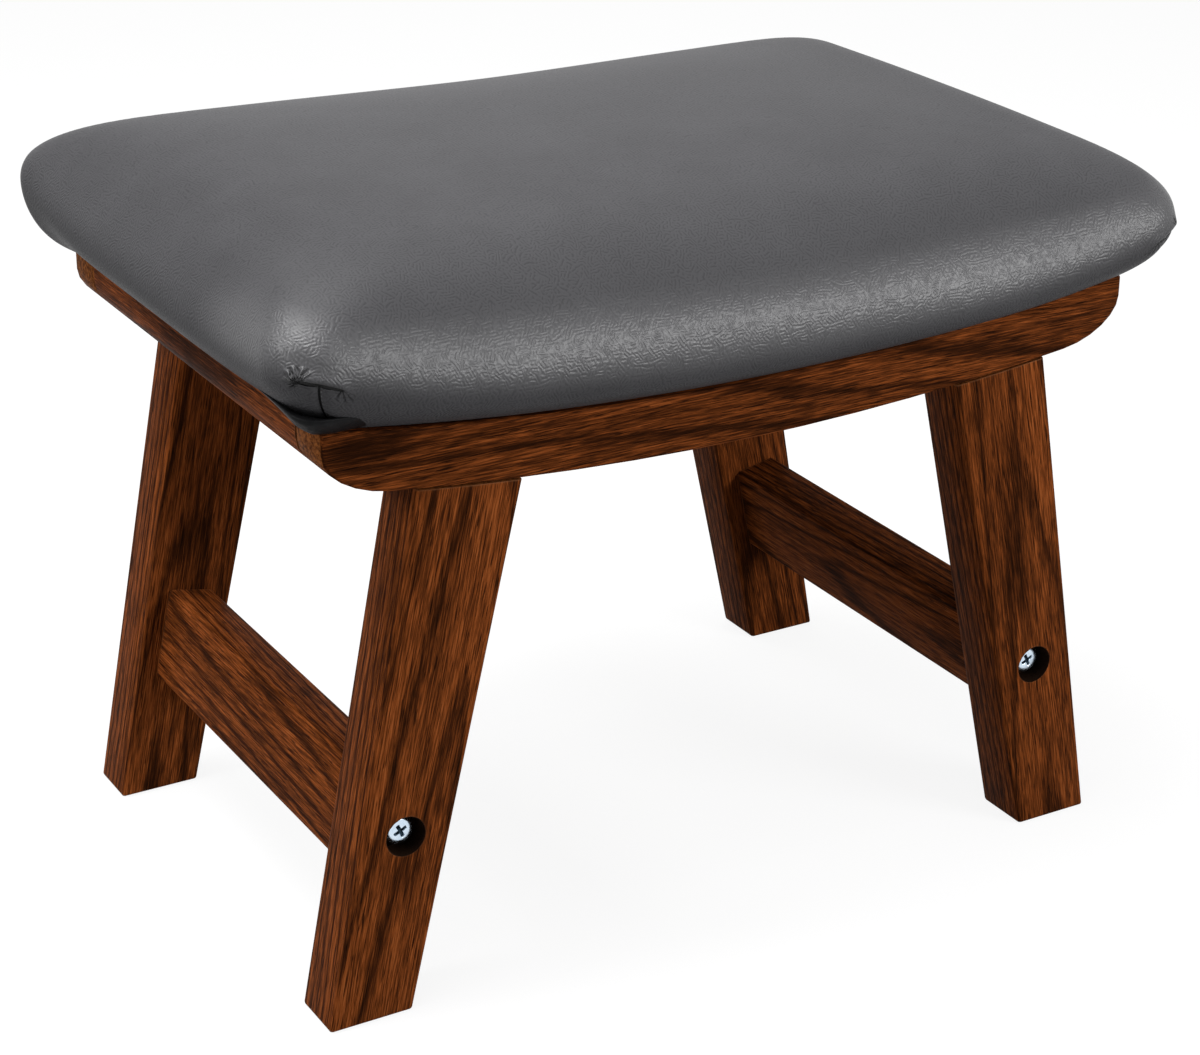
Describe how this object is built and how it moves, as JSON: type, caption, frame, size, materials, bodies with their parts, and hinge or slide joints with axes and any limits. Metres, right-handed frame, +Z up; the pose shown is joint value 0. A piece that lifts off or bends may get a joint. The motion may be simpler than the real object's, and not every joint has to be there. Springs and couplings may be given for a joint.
{
  "type": "upholstered footstool",
  "caption": "Low footstool with a padded saddle seat in charcoal leather on a dark wooden frame with splayed legs joined by side stretchers.",
  "frame": {"origin": "on the floor under the middle of the stool", "axes": "+X along the seat's length, +Y towards the back, +Z up"},
  "size_m": [0.4, 0.278, 0.307],
  "materials": {
    "leather": "charcoal grey leather-look cover, fine pebble grain, satin",
    "walnut": "dark walnut stain with black grain, satin lacquer",
    "plain_wood": "bare hardwood",
    "plywood": "bare bent plywood",
    "foam": "open-cell foam",
    "dust_cloth": "black non-woven cloth",
    "zinc": "bright zinc plating"
  },
  "bodies": {
    "root": {"seat_cover": "leather", "foam_pad": "foam", "seat_board": "plywood", "dust_cover": "dust_cloth", "front_rail": "walnut", "back_rail": "walnut", "left_end_rail": "walnut", "right_end_rail": "walnut", "left_stretcher": "walnut", "right_stretcher": "walnut", "front_left_leg": "walnut", "front_left_stretcher_bolt": "zinc", "front_left_threaded_insert": "zinc", "front_left_leg_inner_dowel": "plain_wood", "front_left_leg_outer_dowel": "plain_wood", "front_left_stretcher_lower_dowel": "plain_wood", "front_left_stretcher_upper_dowel": "plain_wood", "front_left_end_rail_dowel": "plain_wood", "front_left_corner_block": "plain_wood", "front_left_rail_screw": "zinc", "front_left_end_rail_screw": "zinc", "front_left_seat_screw": "zinc", "front_right_leg": "walnut", "front_right_stretcher_bolt": "zinc", "front_right_threaded_insert": "zinc", "front_right_leg_inner_dowel": "plain_wood", "front_right_leg_outer_dowel": "plain_wood", "front_right_stretcher_lower_dowel": "plain_wood", "front_right_stretcher_upper_dowel": "plain_wood", "front_right_end_rail_dowel": "plain_wood", "front_right_corner_block": "plain_wood", "front_right_rail_screw": "zinc", "front_right_end_rail_screw": "zinc", "front_right_seat_screw": "zinc", "back_left_leg": "walnut", "back_left_stretcher_bolt": "zinc", "back_left_threaded_insert": "zinc", "back_left_leg_inner_dowel": "plain_wood", "back_left_leg_outer_dowel": "plain_wood", "back_left_stretcher_lower_dowel": "plain_wood", "back_left_stretcher_upper_dowel": "plain_wood", "back_left_end_rail_dowel": "plain_wood", "back_left_corner_block": "plain_wood", "back_left_rail_screw": "zinc", "back_left_end_rail_screw": "zinc", "back_left_seat_screw": "zinc", "back_right_leg": "walnut", "back_right_stretcher_bolt": "zinc", "back_right_threaded_insert": "zinc", "back_right_leg_inner_dowel": "plain_wood", "back_right_leg_outer_dowel": "plain_wood", "back_right_stretcher_lower_dowel": "plain_wood", "back_right_stretcher_upper_dowel": "plain_wood", "back_right_end_rail_dowel": "plain_wood", "back_right_corner_block": "plain_wood", "back_right_rail_screw": "zinc", "back_right_end_rail_screw": "zinc", "back_right_seat_screw": "zinc"}
  },
  "joints": []
}
